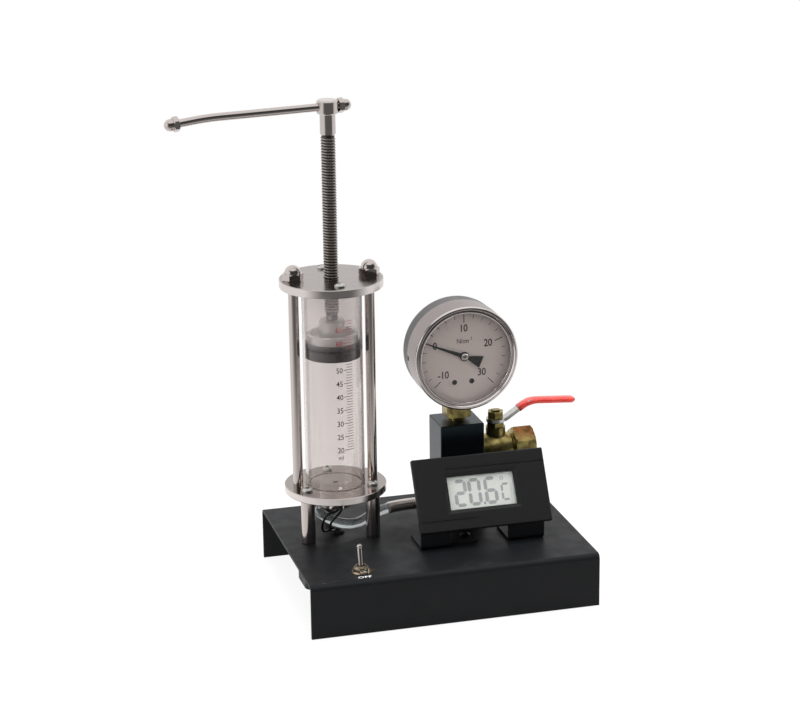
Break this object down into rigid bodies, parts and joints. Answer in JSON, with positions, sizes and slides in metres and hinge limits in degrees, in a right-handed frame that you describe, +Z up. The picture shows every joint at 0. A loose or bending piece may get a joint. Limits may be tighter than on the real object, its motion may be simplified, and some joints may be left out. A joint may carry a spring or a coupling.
{
  "type": "gas law apparatus",
  "caption": "Clear graduated barrel with a screw-driven piston, a dial pressure gauge with a ball valve on a manifold, and a digital thermometer on a folded base.",
  "frame": {"origin": "bottom centre of the box round the whole object, at the height of the base flanges' lower edges", "axes": "+X along the base's long side towards the valve, +Y to the back, +Z up"},
  "size_m": [0.2252, 0.12, 0.2667],
  "materials": {
    "black_coat": "satin black powder coat on sheet steel",
    "brushed_stainless": "turned and brushed stainless steel",
    "polished_stainless": "polished stainless rod",
    "nickel_plate": "bright nickel plate",
    "zinc_steel": "zinc plated steel",
    "screw_steel": "oiled steel thread",
    "satin_aluminium": "machined aluminium",
    "black_anodised": "black anodised aluminium",
    "satin_brass": "dull machined brass",
    "clear_tube": "clear tube",
    "clear_glass": "flat clear glass",
    "hose_skin": "clear plastic skin over braid",
    "black_rubber": "moulded rubber",
    "lead_insulation": "black insulation",
    "gauge_grey": "dark grey paint",
    "ring_steel": "polished stainless ring",
    "dial_silver": "silver grey paint with black print",
    "pointer_black": "black paint",
    "red_vinyl": "dipped red vinyl",
    "seat_white": "white low friction plastic",
    "black_plastic": "moulded black plastic, fine texture",
    "display_grey": "reflective liquid crystal display",
    "switch_nickel": "nickel plate"
  },
  "bodies": {
    "stand": {"base_channel": "black_coat", "base_screws": "zinc_steel", "battery_holder": "black_plastic", "coin_cell": "zinc_steel", "battery_clip": "zinc_steel", "grommet": "black_rubber", "legs": "polished_stainless", "leg_screws": "zinc_steel", "bottom_plate": "brushed_stainless", "port_block": "brushed_stainless", "hose_elbow": "nickel_plate", "sensor_gland": "nickel_plate", "temperature_probe": "polished_stainless", "sensor_lead_left": "lead_insulation", "sensor_lead_right": "lead_insulation", "barrel": "clear_tube", "gaskets": "black_rubber", "tie_rod_left": "polished_stainless", "tie_rod_right": "polished_stainless", "top_plate": "brushed_stainless", "plate_screws": "zinc_steel", "rod_nuts": "nickel_plate", "hose": "hose_skin", "manifold_union": "nickel_plate", "manifold_block": "black_anodised", "gauge_socket": "satin_brass", "gauge_case": "gauge_grey", "gauge_ring": "ring_steel", "gauge_glass": "clear_glass", "gauge_dial": "dial_silver", "dial_screws": "zinc_steel", "pressure_tube": "satin_brass", "gauge_movement": "satin_brass", "valve_body": "satin_brass", "valve_cap": "satin_brass", "valve_seats": "seat_white", "stem_packing": "seat_white", "gland_nut": "satin_brass", "thermo_bracket": "black_coat", "bracket_screws": "zinc_steel", "thermo_case": "black_plastic", "thermo_window": "clear_glass", "thermo_back": "black_plastic", "display_board": "display_grey", "switch_body": "switch_nickel", "switch_nut": "switch_nickel"},
    "piston": {"piston_body": "satin_aluminium", "piston_seal": "black_rubber", "swivel_cap": "satin_aluminium"},
    "screw": {"lead_screw": "screw_steel", "handle_head": "nickel_plate", "tommy_bar": "nickel_plate", "bar_nuts": "nickel_plate"},
    "valve_handle": {"lever_plate": "zinc_steel", "lever_sleeve": "red_vinyl", "lever_nut": "zinc_steel", "valve_stem": "satin_brass", "valve_ball": "satin_brass"},
    "toggle": {"toggle_lever": "switch_nickel"},
    "gauge_pointer": {"pointer": "pointer_black"}
  },
  "joints": [
    {"name": "piston_slide", "type": "slide", "parent": "stand", "child": "piston", "axis": [0, 0, 1], "range_m": [-0.069, 0.0115]},
    {"name": "screw_turn", "type": "hinge", "parent": "piston", "child": "screw", "pos_m": [-0.02544, 0.0123, 0.1534], "axis": [0, 0, 1], "range_deg": [-16560, 2760]},
    {"name": "valve_turn", "type": "hinge", "parent": "stand", "child": "valve_handle", "pos_m": [0.06671, 0.0182, 0.066], "axis": [0, 0, 1], "range_deg": [-90, 0]},
    {"name": "switch_toggle", "type": "hinge", "parent": "stand", "child": "toggle", "pos_m": [-0.02694, -0.0472, 0.031], "axis": [1, 0, 0], "range_deg": [0, 24]},
    {"name": "pointer_turn", "type": "hinge", "parent": "stand", "child": "gauge_pointer", "pos_m": [0.04446, -0.0025, 0.1249], "axis": [0, 1, 0], "range_deg": [-67.5, 202.5]}
  ],
  "couplings": [
    {"joint": "screw_turn", "follows": "piston_slide", "rad_per_m": 4188.8}
  ]
}
